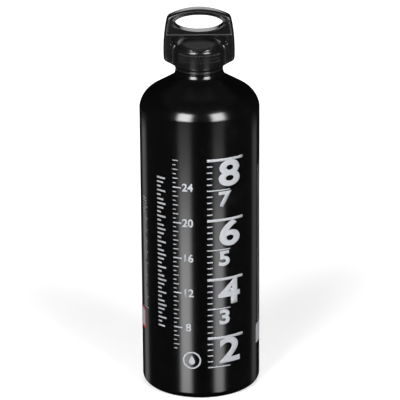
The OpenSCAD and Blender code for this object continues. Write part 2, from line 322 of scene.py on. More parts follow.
# Finishes: over soft blotches, colour and roughness go from the first of a pair to the second
plastic = {"set": {"IOR": 1.49}, "detail": 3.0, "levels": (0.45, 0.75)}
looks = {
    # satin black powder coat, a fine pebble with faint rubbed patches
    "bottleCoat": {"set": {"IOR": 1.5}, "rough": (0.165, 0.22), "blotch": 26.0, "detail": 5.0,
                   "harsh": 0.62, "levels": (0.52, 0.78), "grain": 0.55, "grainDetail": 3.0, "depth": 0.004,
                   "colours": ((0.0008, 0.0008, 0.0009), (0.002, 0.002, 0.0021))},
    # bare drawn aluminium inside the bottle and on the cut mouth
    "bareAluminium": {"set": {"Metallic": 1.0}, "rough": (0.34, 0.48), "blotch": 1.2, "detail": 4.0,
                      "stretch": (1.0, 1.0, 0.06), "depth": 0.01,
                      "colours": ((0.62, 0.62, 0.63), (0.47, 0.47, 0.48))},
    # black moulded plastic with a fine spark-eroded grain, and painted light: a pale sheen on the saddle and
    # a highlight line along the loop's sunk panel
    "capPlastic": {**plastic, "rough": (0.19, 0.25), "blotch": 9.0, "grain": 0.34, "depth": 0.003,
                   "colours": ((0.0035, 0.0035, 0.0036), (0.0055, 0.0055, 0.0057)),
                   # painted light: patch is the colour of the painted sheen on the saddle, line the colour
                   # of the painted highlight along the panel's edge
                   "worn": {"patch": (0.018, 0.018, 0.0184), "line": (0.042, 0.042, 0.043), "across": 11.5,
                            "height": 240.2, "tall": 2.3, "edge": (1.2, 0.5), "outer": 15.2, "inner": 14.0}},
    # a little paler than the cap's
    "plugPlastic": {**plastic, "rough": (0.18, 0.26), "blotch": 6.0, "grain": 0.3, "depth": 0.006,
                    "colours": ((0.006, 0.006, 0.0065), (0.010, 0.010, 0.0105))},
    "sealRubber": {"set": {"IOR": 1.52}, "rough": (0.26, 0.36), "blotch": 2.0, "detail": 4.0,
                   "grain": 0.2, "depth": 0.004,
                   "colours": ((0.003, 0.003, 0.003), (0.005, 0.005, 0.005))},
    "springSteel": {"set": {"Metallic": 1.0}, "rough": (0.24, 0.36), "blotch": 0.8, "detail": 4.0,
                    "depth": 0.003, "colours": ((0.58, 0.57, 0.55), (0.40, 0.39, 0.38))},
}
# screen print, a little uneven
printLook = {"set": {"IOR": 1.48}, "rough": (0.56, 0.66), "blotch": 1.1, "detail": 4.0,
             "levels": (0.5, 0.8), "grain": 0.4, "depth": 0.003}
looks["silverInk"] = {**printLook, "colours": ((0.25, 0.258, 0.274), (0.20, 0.206, 0.217))}
looks["redInk"] = {**printLook, "colours": ((0.34, 0.013, 0.02), (0.26, 0.010, 0.014))}


def wornColour(finish, plain, spec):
    # painted light in the base colour: a soft pale patch on the saddle that stands in for its sheen, and a
    # pale line along the edge of the loop's sunk panel and rib that stands in for its highlight
    x, y, z = [axis / mm for axis in finish.axes(finish.place)]
    across = x / spec["across"]
    up = (z - spec["height"]) / spec["tall"]
    # mask of the painted sheen: an oval across the front of the saddle
    worn = finish.rise(across * across + up * up, *spec["edge"])
    worn = worn * finish.rise(x * x + y * y, spec["outer"]**2, spec["inner"]**2)
    patched = finish.blend(worn, plain, colour(*spec["patch"]))
    # the painted highlight line along the panel's edge, from the mask stored on the cap's points
    rubbed = finish.add("ShaderNodeAttribute", {"attribute_name": "rubbed"}, outlet="Fac")
    return finish.blend(rubbed, patched, colour(*spec["line"]))


def makeFinish(name, look):
    finish = Finish(name, look["set"])
    drift = finish.noise(look["blotch"], look["detail"], look.get("harsh", 0.5), look.get("stretch"))
    if "levels" in look:
        drift = finish.rise(drift, *look["levels"])
    first, second = look["colours"]
    plain = finish.blend(drift, colour(*first), colour(*second))
    # the cap's base colour carries painted light: a pale sheen on the saddle and a highlight line along the
    # panel
    finish.set("Base Color", wornColour(finish, plain, look["worn"]) if "worn" in look else plain)
    smooth, rough = look["rough"]
    finish.set("Roughness", smooth + drift * (rough - smooth))
    grain = finish.noise(look["grain"], look.get("grainDetail", 2.0)) if "grain" in look else drift
    finish.set("Normal", finish.bump(grain, look["depth"]))
    return finish.material


materials = [makeFinish(name, look) for name, look in looks.items()]
coat, aluminium, capPlastic, plugPlastic, rubber, springSteel, ink, redInk = materials
print("finishes ready")


# Shapes
def meshPiece(name, points, faces, materials, body, faceMaterial=None):
    mesh = bpy.data.meshes.new(name)
    mesh.from_pydata([Vector(p) * mm for p in points], [], [tuple(int(i) for i in f) for f in faces])
    for material in materials:
        mesh.materials.append(material)
    if faceMaterial is not None:
        mesh.polygons.foreach_set("material_index", faceMaterial)
    mesh.polygons.foreach_set("use_smooth", [True] * len(mesh.polygons))
    mesh.update()
    piece = linked(name, mesh)
    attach(piece, body)
    return piece


def arc(centre, radius, start, end, steps):
    # points of a profile along an arc
    turns = [math.radians(start + (end - start) * i / steps) for i in range(steps + 1)]
    return [(centre[0] + radius * math.cos(t), centre[1] + radius * math.sin(t)) for t in turns]


def ray(angle):
    turn = math.radians(angle)
    return Vector((math.cos(turn), math.sin(turn)))


def lathe(profile, steps):
    # turns a closed profile, from the axis round to the axis, about Z
    points = []
    rings = []
    for radius, height in profile:
        if radius < 1e-6:
            rings.append([len(points)] * steps)
            points.append((0.0, 0.0, height))
        else:
            rings.append(list(range(len(points), len(points) + steps)))
            for i in range(steps):
                turn = 2 * math.pi * i / steps
                points.append((radius * math.cos(turn), radius * math.sin(turn), height))
    faces = []
    bands = []
    for band, (low, high) in enumerate(zip(rings, rings[1:])):
        for i in range(steps):
            j = (i + 1) % steps
            corners = [low[i], low[j], high[j], high[i]]
            face = [c for n, c in enumerate(corners) if c != corners[n - 1]]
            if len(face) > 2:
                faces.append(face)
                bands.append(band)
    return points, faces, bands


# Bottle: one drawn shell, black outside and bare inside
bottle = {
    "steps": 192,
    "sunk": 0.07,            # room under the print, so that the print doesn't pass the CAD box
    "wallTop": 196.5,
    "wall": 1.0,
    "floor": 1.6,
    "footEdge": 5.0,
    "footRing": 4.0,
    "domeRise": 5.0,
    "shoulderRadius": 12.0,
    "shoulderSlope": 30.0,
    "creaseRadius": 2.0,     # the shoulder leaves the wall with a crisp line
    "creaseTurn": 10.0,
    "creaseRise": -0.6,
    "neckRadius": 15.9,
    "neckFillet": 6.0,
    "boreRadius": 14.15,
    "boreLength": 15.6,
    "collar": 1.8,
    "bevel": 0.5,
    "mouthEdge": 0.15,
}


def shoulderArc(spec, radius, shoulder):
    # a tight curve off the wall, then a wide one that ends on the cone
    tight = spec["creaseRadius"]
    end = 90 - spec["shoulderSlope"]
    off = ray(end)
    along = ray(spec["creaseTurn"])
    first = Vector((radius - tight, spec["wallTop"] + spec["creaseRise"]))
    cone = off.dot(Vector(shoulder)) + spec["shoulderRadius"]
    wide = (cone - off.dot(first) - tight * off.dot(along)) / (1 - off.dot(along))
    second = first - along * (wide - tight)
    return arc(first, tight, 0, spec["creaseTurn"], 4) + arc(second, wide, spec["creaseTurn"], end, 16)[1:]


def bottleProfile(spec):
    mouth = nodeBox("bottle_shell")[1][2]
    radius = nodeBox("bottle_shell")[1][0] - spec["sunk"]
    slope = math.radians(spec["shoulderSlope"])
    shoulder = (radius - spec["shoulderRadius"], spec["wallTop"])
    neckCentre = spec["neckRadius"] + spec["neckFillet"]
    fall = math.sin(slope) * (neckCentre - shoulder[0])
    reach = spec["shoulderRadius"] + spec["neckFillet"] - fall
    neck = (neckCentre, spec["wallTop"] + reach / math.cos(slope))
    ringInner = radius - spec["footEdge"] - spec["footRing"]
    domeRadius = (ringInner**2 + spec["domeRise"]**2) / (2 * spec["domeRise"])
    dome = (0, spec["domeRise"] - domeRadius)
    domeEnd = math.degrees(math.atan2(-dome[1], ringInner))
    outside = arc(dome, domeRadius, 90, domeEnd, 16)
    outside += arc((radius - spec["footEdge"], spec["footEdge"]), spec["footEdge"], -90, 0, 12)
    outside += shoulderArc(spec, radius, shoulder)
    outside += arc(neck, spec["neckFillet"], 270 - spec["shoulderSlope"], 180, 12)
    edge = spec["mouthEdge"]
    outside += [(spec["neckRadius"], mouth - edge), (spec["neckRadius"] - edge, mouth)]
    bore = spec["boreRadius"]
    boreEnd = mouth - spec["boreLength"]
    bevel = spec["bevel"]
    collar = bore + spec["collar"]
    innerReach = spec["shoulderRadius"] - spec["wall"]
    root = (neckCentre, spec["wallTop"] + (innerReach - fall) / math.cos(slope))
    inside = [(bore + bevel, mouth), (bore, mouth - bevel), (bore, boreEnd + bevel), (bore + bevel, boreEnd)]
    inside += [(collar - bevel, boreEnd), (collar, boreEnd + spec["collar"]), root]
    inside += arc(shoulder, innerReach, 90 - spec["shoulderSlope"], 0, 12)
    innerCorner = spec["footEdge"] - spec["wall"]
    corner = (radius - spec["footEdge"], spec["floor"] + innerCorner)
    inside += arc(corner, innerCorner, 0, -90, 8)
    innerDome = domeRadius + spec["floor"]
    innerSpan = math.sqrt(innerDome**2 - (spec["floor"] - dome[1])**2)
    innerEnd = math.degrees(math.acos(min(1, innerSpan / innerDome)))
    inside += arc(dome, innerDome, innerEnd, 90, 12)
    outside[0] = (0, outside[0][1])
    inside[-1] = (0, inside[-1][1])
    return outside, inside


def makeBottle(spec):
    outside, inside = bottleProfile(spec)
    points, faces, bands = lathe(outside + inside, spec["steps"])
    coated = len(outside)
    piece = meshPiece("bottleWall", points, faces, [coat, aluminium], "bottle",
                      [0 if band < coated else 1 for band in bands])
    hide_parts("bottle_shell")


# Threads: a rounded ridge in the neck and one on the plug
neckThread = {"Steps": 420, "Turns": 3.1, "Lead": 4.0, "Low": 207.2, "Radius": 14.2, "Out": -1.1,
              "Wide": 1.05, "Start": 0.0, "Fade": 9.0}
plugThread = {"Steps": 420, "Turns": 2.9, "Lead": 4.0, "Low": 207.6, "Radius": 12.65, "Out": 1.15,
              "Wide": 0.85, "Start": 0.4, "Fade": 9.0}
threadSides = 16
threadSquare = 0.6


def makeThread(name, numbers, material, body, slot):
    growth = Growth(name, numbers)
    sheet, share, out, up = growth.strip(threadSides, threadSquare)
    ends = share.sum("MINIMUM", share, 1 - share) * growth["Fade"]
    swell = ends.sum("MINIMUM", ends, 1.0)
    turns = share * growth["Turns"]
    radius = growth["Radius"] + out * swell * growth["Out"]
    height = growth["Low"] + turns * growth["Lead"] + up * swell * growth["Wide"]
    turn = (turns + growth["Start"]) * 2 * math.pi
    place = growth.vector(radius * turn.cosine(), radius * turn.sine(), height)
    growth.grow(growth.closed(sheet, place), material, body, slot)


makeBottle(bottle)
makeThread("neckThread", neckThread, aluminium, "bottle", "bottle_coat")
print("bottle ready")


# Cap: a moulded shell, blended from its forms and skinned
cap = {
    "cell": 0.35,            # spacing of the grid that the skin is drawn on
    "skirtRadius": 16.4,
    "skirtHeight": 15.0,
    "skirtWall": 1.7,
    "crown": 2.2,            # rounding of the skirt's upper edge
    "crownRise": -1.8,
    "saddleHeight": 3.2,     # the saddle between skirt and rib, above the skirt's upper edge
    "saddleTop": 8.0,        # half its flat top's depth
    "saddleSlope": 34.0,
    "saddleBend": 300.0,
    "saddleSpan": 13.5,
    "saddleFall": 2.0,       # how far it drops at that distance from the middle
    "saddleIn": 1.0,
    "lipIn": 0.8,
    "lipHeight": 1.6,
    "lipBack": 1.0,
    "ceiling": 9.15,         # above the skirt's lower edge
    "wingSpan": 47.1,
    "wingMid": 10.2,
    "sideRadius": 98.0,
    "wingCorner": 3.5,
    "wingSlope": 27.0,
    "handle": 9.0,
    "handleEdge": 1.8,
    "archRadius": 43.0,
    "archCorner": 4.5,
    "holeWidth": 31.8,
    "holeHeight": 11.4,
    "arch": 3.8,
    "holeEdge": 0.5,
    "holeLip": 1.3,
    "rim": 1.9,
    "panelDepth": 1.3,
    "rubbed": 0.5,           # half the width of the painted highlight line along the panel's edge
    "rubbedFade": 2.5,
    "rubbedDeep": 1.0,
    "ribTop": 6.5,           # above the skirt's upper edge
    "rib": 1.9,
    "pocketTop": 36.6,
    "pocketSide": 4.6,
    "pocketFoot": 22.0,
    "pocketSink": 0.8,
    "web": 2.6,
    "rootRadius": 1.6,
    "rootLeft": 0.5,
    "rootFade": (-2.0, 2.2),  # where the wing roots thin out, from the skirt's upper edge
    "soft": {"foot": 0.4, "saddle": 1.0, "panel": 0.7, "pocket": 0.8, "hollow": 0.35},
}


def circlesMeet(first, firstRadius, second, secondRadius):
    apart = Vector(second) - Vector(first)
    distance = apart.length
    along = apart / distance
    t = (distance**2 + firstRadius**2 - secondRadius**2) / (2 * distance)
    across = math.sqrt(firstRadius**2 - t**2)
    return Vector(first) + along * t + Vector((-along.y, along.x)) * across


def direction(start, end):
    return math.degrees(math.atan2(end[1] - start[1], end[0] - start[0]))


def capOutline(spec, low, top, inset=0.0):
    # the cap's front outline in X and Z, drawn in by inset
    arch = Vector((0, top - spec["archRadius"]))
    side = Vector((spec["wingSpan"] / 2 - spec["sideRadius"], low + spec["wingMid"]))
    along = ray(spec["wingSlope"])
    up = Vector((-along.y, along.x))
    start = Vector((spec["skirtRadius"], low))
    corner = spec["archCorner"]
    upper = circlesMeet(side, spec["sideRadius"] - corner, arch, spec["archRadius"] - corner)
    base = start + up * spec["wingCorner"] - side
    b = base.dot(along)
    reach = math.sqrt(b**2 - base.dot(base) + (spec["sideRadius"] - spec["wingCorner"])**2) - b
    lower = side + base + along * reach
    half = arc(arch, spec["archRadius"] - inset, 90, direction(arch, upper), 24)
    half += arc(upper, corner - inset, direction(arch, upper), direction(side, upper), 12)
    half += arc(side, spec["sideRadius"] - inset, direction(side, upper), direction(side, lower), 24)
    half += arc(lower, spec["wingCorner"] - inset, direction(side, lower), spec["wingSlope"] - 90, 12)
    foot = start + up * inset
    left = [(-x, z) for x, z in reversed(half[1:])]
    return half + [(foot.x, foot.y), (-foot.x, foot.y)] + left


def outlineDistance(outline, across, height):
    # signed distance in the plane to a closed outline, negative inside
    corners = np.array(outline)
    following = np.roll(corners, -1, axis=0)
    nearest = np.full(across.shape, 1e9)
    inside = np.zeros(across.shape, bool)
    for (ax, az), (bx, bz) in zip(corners, following):
        edge = np.array((bx - ax, bz - az))
        length = edge @ edge
        if length < 1e-12:
            continue
        t = np.clip(((across - ax) * edge[0] + (height - az) * edge[1]) / length, 0, 1)
        nearest = np.minimum(nearest, np.hypot(across - ax - t * edge[0], height - az - t * edge[1]))
        crosses = (az > height) != (bz > height)
        level = np.where(crosses, (height - az) / (bz - az if bz != az else 1), 0)
        inside ^= crosses & (across < ax + level * edge[0])
    return np.where(inside, -nearest, nearest)


def roundSlab(flat, depth, rounding):
    # a flat shape's distance made solid, with its edges rounded
    a = flat + rounding
    b = depth + rounding
    return np.hypot(np.maximum(a, 0), np.maximum(b, 0)) + np.minimum(np.maximum(a, b), 0) - rounding


def softUnion(a, b, width):
    h = np.clip(0.5 + 0.5 * (b - a) / width, 0, 1)
    return b + (a - b) * h - width * h * (1 - h)


def softCut(a, b, width):
    return -softUnion(-a, b, width)


def roundUnion(a, b, fillet):
    # joins two forms with a hollow curve of that radius
    near = np.hypot(np.maximum(fillet - a, 0), np.maximum(fillet - b, 0))
    return np.where(np.minimum(a, b) < fillet, np.maximum(fillet, np.minimum(a, b)) - near, np.minimum(a, b))


def holeOutline(spec, top, grow=0.0):
    # the finger hole's oval, widened by grow
    wide = spec["holeWidth"] / 2 + grow
    tall = spec["holeHeight"] / 2 + grow
    height = top - spec["arch"] - spec["holeHeight"] / 2
    return [(wide * math.cos(t), height + tall * math.sin(t)) for t in np.linspace(0, 2 * math.pi, 97)[:-1]]


def capDistance(spec, low, top, x, y, z, plane):
    # plane(outline) gives an outline's distance over the grid's X and Z
    soft = spec["soft"]
    radius = np.hypot(x, y)
    depth = np.abs(y)
    skirtTop = low + spec["skirtHeight"]
    ribTop = skirtTop + spec["ribTop"]
    ribLow = ribTop - spec["rib"]
    middle = (low + skirtTop) / 2
    tall = skirtTop - low + 2 * spec["crownRise"]
    beyond = radius - spec["skirtRadius"]
    skirt = roundSlab(beyond, np.abs(z - middle) - tall / 2, spec["crown"])
    foot = softCut(beyond, z - low, soft["foot"])
    skirt = np.minimum(skirt, np.maximum(foot, z - middle))
    slope = math.radians(spec["saddleSlope"])
    crest = skirtTop + spec["saddleHeight"] - x * x / spec["saddleBend"]
    crest = crest - spec["saddleFall"] * (x / spec["saddleSpan"])**6
    flank = (z - crest) * math.cos(slope) + (depth - spec["saddleTop"]) * math.sin(slope)
    saddle = softCut(flank, crest - z, soft["saddle"])
    saddle = np.maximum(np.maximum(saddle, beyond + spec["saddleIn"]), middle - z)
    body = softUnion(skirt, saddle, soft["saddle"])
    outline = plane(capOutline(spec, low, top))
    handle = roundSlab(outline, depth - spec["handle"] / 2, spec["handleEdge"])
    panel = np.maximum(plane(capOutline(spec, low, top, spec["rim"])), ribTop - z)
    panel = np.maximum(panel, -plane(holeOutline(spec, top, spec["holeLip"])))
    panel = np.maximum(panel, spec["handle"] / 2 - spec["panelDepth"] - depth)
    handle = softCut(handle, panel, soft["panel"])
    pocketLow = skirtTop - spec["pocketSink"]
    corners = [(spec["pocketFoot"] / 2, pocketLow), (spec["pocketTop"] / 2, ribLow - spec["pocketSide"]),
               (spec["pocketTop"] / 2, ribLow)]
    pocket = plane(corners + [(-x, z) for x, z in reversed(corners)])
    pocket = roundSlab(pocket, spec["web"] / 2 - depth, soft["pocket"])
    start, end = spec["rootFade"]
    fade = np.clip((z - skirtTop - start) / (end - start), 0, 1)
    fillet = spec["rootRadius"] * (1 - fade * fade * (3 - 2 * fade)) + spec["rootLeft"]
    whole = np.maximum(roundUnion(body, handle, fillet), np.maximum(outline, low - z))
    whole = softCut(whole, np.maximum(pocket, -body), soft["pocket"])
    whole = softCut(whole, plane(holeOutline(spec, top)), spec["holeEdge"])
    inner = spec["skirtRadius"] - spec["skirtWall"]
    hollow = np.maximum(radius - inner, z - low - spec["ceiling"])
    lip = np.maximum(np.maximum(inner - spec["lipIn"] - radius, z - low - spec["lipHeight"]), low - z)
    hollow = np.maximum(hollow, -np.maximum(lip, radius - inner - spec["lipBack"]))
    return softCut(whole, hollow, soft["hollow"])


def skin(distance, cell, origin):
    # surface nets: one point per crossed cell, one face per crossed edge
    inside = distance < 0
    shape = np.array(distance.shape) - 1
    total = np.zeros(tuple(shape) + (3,))
    count = np.zeros(tuple(shape))
    offsets = [(i, j, k) for i in (0, 1) for j in (0, 1) for k in (0, 1)]

    def corner(grid, o):
        return grid[o[0]:o[0] + shape[0], o[1]:o[1] + shape[1], o[2]:o[2] + shape[2]]

    for start in offsets:
        for axis in range(3):
            if start[axis]:
                continue
            end = tuple(1 if a == axis else start[a] for a in range(3))
            d0 = corner(distance, start)
            d1 = corner(distance, end)
            crossed = (d0 < 0) != (d1 < 0)
            t = np.where(crossed, d0 / np.where(crossed, d0 - d1, 1), 0)
            count += crossed
            for a in range(3):
                total[..., a] += crossed * (start[a] + (t if a == axis else 0))
    used = count > 0
    index = np.full(tuple(shape), -1)
    index[used] = np.arange(used.sum())
    cells = np.argwhere(used)
    points = (cells + total[used] / count[used][:, None]) * cell + origin
    faces = []
    for axis in range(3):
        grid = np.moveaxis(inside, axis, 0)
        ids = np.moveaxis(index, axis, 0)
        here = grid[:-1, 1:-1, 1:-1]
        there = grid[1:, 1:-1, 1:-1]
        quads = np.stack([ids[:, :-1, :-1], ids[:, 1:, :-1], ids[:, 1:, 1:], ids[:, :-1, 1:]], axis=-1)
        out = quads[here & ~there]
        back = quads[~here & there][:, ::-1]
        both = np.concatenate([out, back])
        faces.append(both[:, ::-1] if axis == 1 else both)
    return points, np.concatenate(faces)


def rubbedEdge(spec, low, top, points):
    # 1 on the edge between the sunk panel and its rim and rib, where a highlight line is painted, 0 away
    # from it
    x, y, z = points.T
    inner = outlineDistance(capOutline(spec, low, top, spec["rim"]), x, z)
    edge = np.abs(np.maximum(inner, low + spec["skirtHeight"] + spec["ribTop"] - z))
    face = np.clip(spec["rubbedFade"] * (np.abs(y) - spec["handle"] / 2 + spec["rubbedDeep"]), 0, 1)
    return np.clip(spec["rubbedFade"] * (spec["rubbed"] - edge) + 0.5, 0, 1) * face


def makeCap(spec):
    low = nodeBox("cap_shell")[0][2]
    top = nodeBox("cap_shell")[1][2]
    cell = spec["cell"] * 1
    margin = 2 * cell
    halfX = spec["wingSpan"] / 2 + margin
    halfY = spec["skirtRadius"] + margin
    xs = np.arange(-halfX, halfX, cell)
    ys = np.arange(-halfY, halfY, cell)
    zs = np.arange(low - margin, top + margin, cell)
    flatX, flatZ = np.meshgrid(xs, zs, indexing="ij")

    def plane(outline):
        return outlineDistance(outline, flatX, flatZ)[:, None, :]

    x, y, z = np.meshgrid(xs, ys, zs, indexing="ij")
    distance = capDistance(spec, low, top, x, y, z, plane)
    points, faces = skin(distance, cell, np.array([xs[0], ys[0], zs[0]]))
    piece = meshPiece("loopCap", points.tolist(), faces, [capPlastic], "cap")
    # store the mask of the painted highlight line on the cap's points
    rubbed = piece.data.attributes.new("rubbed", "FLOAT", "POINT")
    rubbed.data.foreach_set("value", rubbedEdge(spec, low, top, points))
    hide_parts("cap_shell")


# Clutch teeth: one steep flank drives, the long one lets the other half ride over it
clutch = {"Teeth": 12, "Length": 3.4, "Height": 1.1, "Root wide": 2.6, "Tip wide": 1.3, "Lean": 0.5,
          "Sunk": 0.3, "Inner": 9.8}
capTeeth = {**clutch, "Base": 233.26, "Up": -1.0, "Phase": 0.5}
plugTeeth = {**clutch, "Base": 230.81, "Up": 1.0, "Phase": 0.0}
toothBevel = 0.12


def makeTeeth(name, numbers, material, body, slot):
    growth = Growth(name, numbers)
    block = growth.add("GeometryNodeMeshCube", values={"Size": (1, 1, 1)})
    x, y, z = growth.spot()
    rise = z + 0.5
    wide = growth["Root wide"] + (growth["Tip wide"] - growth["Root wide"]) * rise
    reach = growth["Inner"] + (x + 0.5) * growth["Length"]
    tall = rise * (growth["Height"] + growth["Sunk"]) - growth["Sunk"]
    place = growth.vector(reach, y * wide + rise * growth["Lean"],
                          growth["Base"] + tall * growth["Up"])
    tooth = growth.closed(block, place)
    step = 2 * math.pi / growth["Teeth"]
    turn = growth.vector(0, 0, (growth.index() + growth["Phase"]) * step)
    ring = growth.row(growth["Teeth"], (0, 0, 0), tooth, {"Rotation": turn})
    soften(growth.grow(ring, material, body, slot, flat=True), toothBevel)


def soften(piece, width):
    # bevels every sharp edge of a piece
    work = bmesh.new()
    work.from_mesh(piece.data)
    edges = [edge for edge in work.edges if edge.calc_face_angle(0) > math.radians(30)]
    bmesh.ops.bevel(work, geom=edges, offset=width * mm, segments=2, profile=0.5, affect="EDGES")
    work.to_mesh(piece.data)
    work.free()


# Grip marks: raised bars and studs round the front and the back of the skirt
grip = {"Bars": 19, "Pitch": 6.0, "Radius": 16.35, "Out": 0.55, "Wide": 0.46, "Tall": 1.9, "Height": 232.6,
        "Stud tall": 0.45, "Stud height": 229.3}
gripSegments = 14
gripSquare = 0.45


def makeGrips():
    growth = Growth("skirtGrips", grip)
    values = {"Segments": gripSegments, "Rings": gripSegments, "Radius": 1.0}
    ball = growth.add("GeometryNodeMeshUVSphere", values=values)
    x, y, z = growth.spot()
    step = math.pi / 180 * growth["Pitch"]
    rows = []
    for tall, height, shift in (("Tall", "Height", 0.0), ("Stud tall", "Stud height", 0.5)):
        place = growth.vector(growth["Radius"] + x * growth["Out"], y * growth["Wide"],
                              growth[height] + growth.squared(z, gripSquare) * growth[tall])
        bar = growth.closed(ball, place)
        count = growth.index() % growth["Bars"]
        back = (growth["Bars"] - 0.5).lessThan(growth.index())
        middle = (growth["Bars"] - 1) / 2 - shift
        turn = growth.vector(0, 0, (count - middle) * step - math.pi / 2 + back * math.pi)
        rows.append(growth.row(growth["Bars"] * 2, (0, 0, 0), bar, {"Rotation": turn}))
    growth.grow(growth.joined(*rows), capPlastic, "cap", "cap_plastic")


makeCap(cap)
makeTeeth("capTeeth", capTeeth, capPlastic, "cap", "cap_plastic")
makeGrips()
print("cap ready")


# Plug: threaded stem, flange, drum with its snap bead, and the spring's seat
plug = {
    "steps": 144,
    "stemRadius": 12.7,
    "stemBore": 10.5,
    "stemLow": 206.01,
    "flangeRadius": 15.9,
    "flange": (222.21, 222.91),
    "drumRadius": 13.55,
    "bead": (225.91, 227.11),
    "beadRadius": 14.3,
    "top": 230.81,
    "seat": 230.71,
    "seatRadius": 9.1,
    "bossRadius": 5.8,
    "bossTop": 231.71,
    "webLow": 228.31,
    "edge": 0.25,
    "stemEdge": 0.5,
    "webFillet": 1.0,
}


def plugProfile(spec):
    edge = spec["edge"]
    drum = spec["drumRadius"]
    bead = spec["beadRadius"]
    stem = spec["stemRadius"]
    low, high = spec["flange"]
    beadLow, beadHigh = spec["bead"]
    beadOut = bead - drum
    profile = [(0, spec["webLow"])]
    fillet = spec["webFillet"]
    profile += arc((spec["stemBore"] - fillet, spec["webLow"] - fillet), fillet, 90, 0, 5)
    profile += [(spec["stemBore"], spec["stemLow"] + edge), (spec["stemBore"] + edge, spec["stemLow"])]
    stemEdge = spec["stemEdge"]
    profile += arc((stem - stemEdge, spec["stemLow"] + stemEdge), stemEdge, -90, 0, 4)
    profile += [(stem, low), (spec["flangeRadius"] - edge, low)]
    profile += arc((spec["flangeRadius"] - edge, (low + high) / 2), (high - low) / 2, -80, 80, 6)
    profile += [(drum + edge, high), (drum, high + edge)]
    profile += [(drum, beadLow), (bead - edge, beadLow)]
    profile += [(bead, beadLow + edge), (bead, beadHigh - beadOut / 2)]
    profile += [(drum, beadHigh + beadOut / 2), (drum, spec["top"] - edge)]
    profile += [(drum - edge, spec["top"]), (spec["seatRadius"], spec["top"])]
    profile += [(spec["seatRadius"], spec["seat"]), (spec["bossRadius"], spec["seat"])]
    profile += [(spec["bossRadius"], spec["bossTop"] - edge), (spec["bossRadius"] - edge, spec["bossTop"])]
    return profile + [(0, spec["bossTop"])]


def makePlug(spec):
    points, faces, bands = lathe(plugProfile(spec)[::-1], spec["steps"])
    piece = meshPiece("plugBody", points, faces, [plugPlastic], "closure")
    outward(piece.data)
    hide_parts("plug")


makePlug(plug)
makeThread("plugThread", plugThread, plugPlastic, "closure", "plug_plastic")
makeTeeth("plugTeeth", plugTeeth, plugPlastic, "closure", "plug_plastic")
print("plug ready")


# Wave spring: a flat strip with rounded edges that waves up and down round its ring
spring = {"Steps": 240, "Waves": 4.0, "Radius": 7.45, "Strip": 1.15, "Thick": 0.175, "Middle": 231.985,
          "Swing": 1.05}
springSides = 20
springSquare = 0.3


def makeSpring():
    growth = Growth("waveStrip", spring)
    sheet, share, out, up = growth.strip(springSides, springSquare)
    turn = share * 2 * math.pi
    radius = growth["Radius"] + out * growth["Strip"]
    wave = (turn * growth["Waves"]).cosine() * growth["Swing"]
    height = growth["Middle"] + wave + up * growth["Thick"]
    place = growth.vector(radius * turn.cosine(), radius * turn.sine(), height)
    piece = growth.grow(growth.closed(sheet, place), springSteel, "spring", "spring_steel")
    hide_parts("wave_spring")
    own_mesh(piece)


makeSpring()
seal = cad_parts["seal_ring"].data.materials
seal.clear()
seal.append(rubber)
print("spring and seal ready")


# Print: a level scale with plain numbers, finer scales beside it, a drop in a ring, two patches
printing = {
    "radius": 39.975,
    "layer": 0.04,
    "empty": 2.5,            # height of the level at nothing
    "decilitre": 20.9,       # height of one decilitre in the body
    "ounce": 6.18,
    "cut": 1.4,              # width of the strips that the print is cut into before it is bent round
}
scales = {
    "levelScale": {"Marks": 36, "Step": 4.18, "First": 5, "Every": 10, "Half": 5, "Left": 4.6,
                   "Short": 3.6, "Middle": 16.0, "Long": 26.5, "Thin": 0.8, "Thick": 1.9},
    "fineScale": {"Marks": 44, "Step": 3.09, "First": 11, "Every": 8, "Half": 2, "Left": -18.6,
                  "Short": 2.2, "Middle": 3.8, "Long": 6.0, "Thin": 0.6, "Thick": 0.9},
    "sideMarks": {"Marks": 36, "Step": 3.0, "First": 16, "Every": 3, "Half": 2, "Left": -31.5,
                  "Short": 3.2, "Middle": 5.4, "Long": 7.0, "Thin": 1.2, "Thick": 1.2},
    "leftMarks": {"Marks": 40, "Step": 2.0, "First": 28, "Every": 9, "Half": 4, "Left": -50.0,
                  "Short": 5.5, "Middle": 7.0, "Long": 4.0, "Thin": 0.5, "Thick": 0.5},
    "rightMarks": {"Marks": 56, "Step": 2.0, "First": 22, "Every": 7, "Half": 5, "Left": 51.0,
                   "Short": 6.0, "Middle": 4.0, "Long": 7.0, "Thin": 0.45, "Thick": 0.45},
}
markCells = 14


def makeScale(name, numbers):
    # marks whose length and thickness change at every half and every whole step
    growth = Growth(name, numbers)
    number = growth.index() + growth["First"]
    whole = (number % growth["Every"]).lessThan(0.5)
    between = (number % growth["Half"]).lessThan(0.5)
    length = growth["Short"] + between * (growth["Middle"] - growth["Short"])
    length = length + whole * (growth["Long"] - length)
    thick = growth["Thin"] + whole * (growth["Thick"] - growth["Thin"])
    place = growth.vector(growth["Left"] + length / 2, 0, printing["empty"] + number * growth["Step"])
    size = (1, printing["layer"], 1)
    block = growth.add("GeometryNodeMeshCube", values={"Size": size, "Vertices X": markCells})
    row = growth.row(growth["Marks"], place, block, {"Scale": growth.vector(length, 1, thick)})
    row = growth.add("GeometryNodeRealizeInstances", values={"Geometry": row})
    growth.grow(growth.wrapped(row, printing["radius"] - printing["layer"] / 2), ink, "bottle")


def textShape(number, form):
    data = bpy.data.curves.new("number", "FONT")
    data.body = str(number)
    data.size = form["size"]
    data.offset = form["bold"]
    data.align_x = "CENTER"
    data.align_y = "CENTER"
    data.resolution_u = 6
    return data


def outlineShape(loops):
    data = bpy.data.curves.new("outline", "CURVE")
    data.dimensions = "2D"
    data.fill_mode = "BOTH"
    for loop in loops:
        spline = data.splines.new("POLY")
        spline.points.add(len(loop) - 1)
        for point, (x, y) in zip(spline.points, loop):
            point.co = (x, y, 0, 1)
        spline.use_cyclic_u = True
    return data


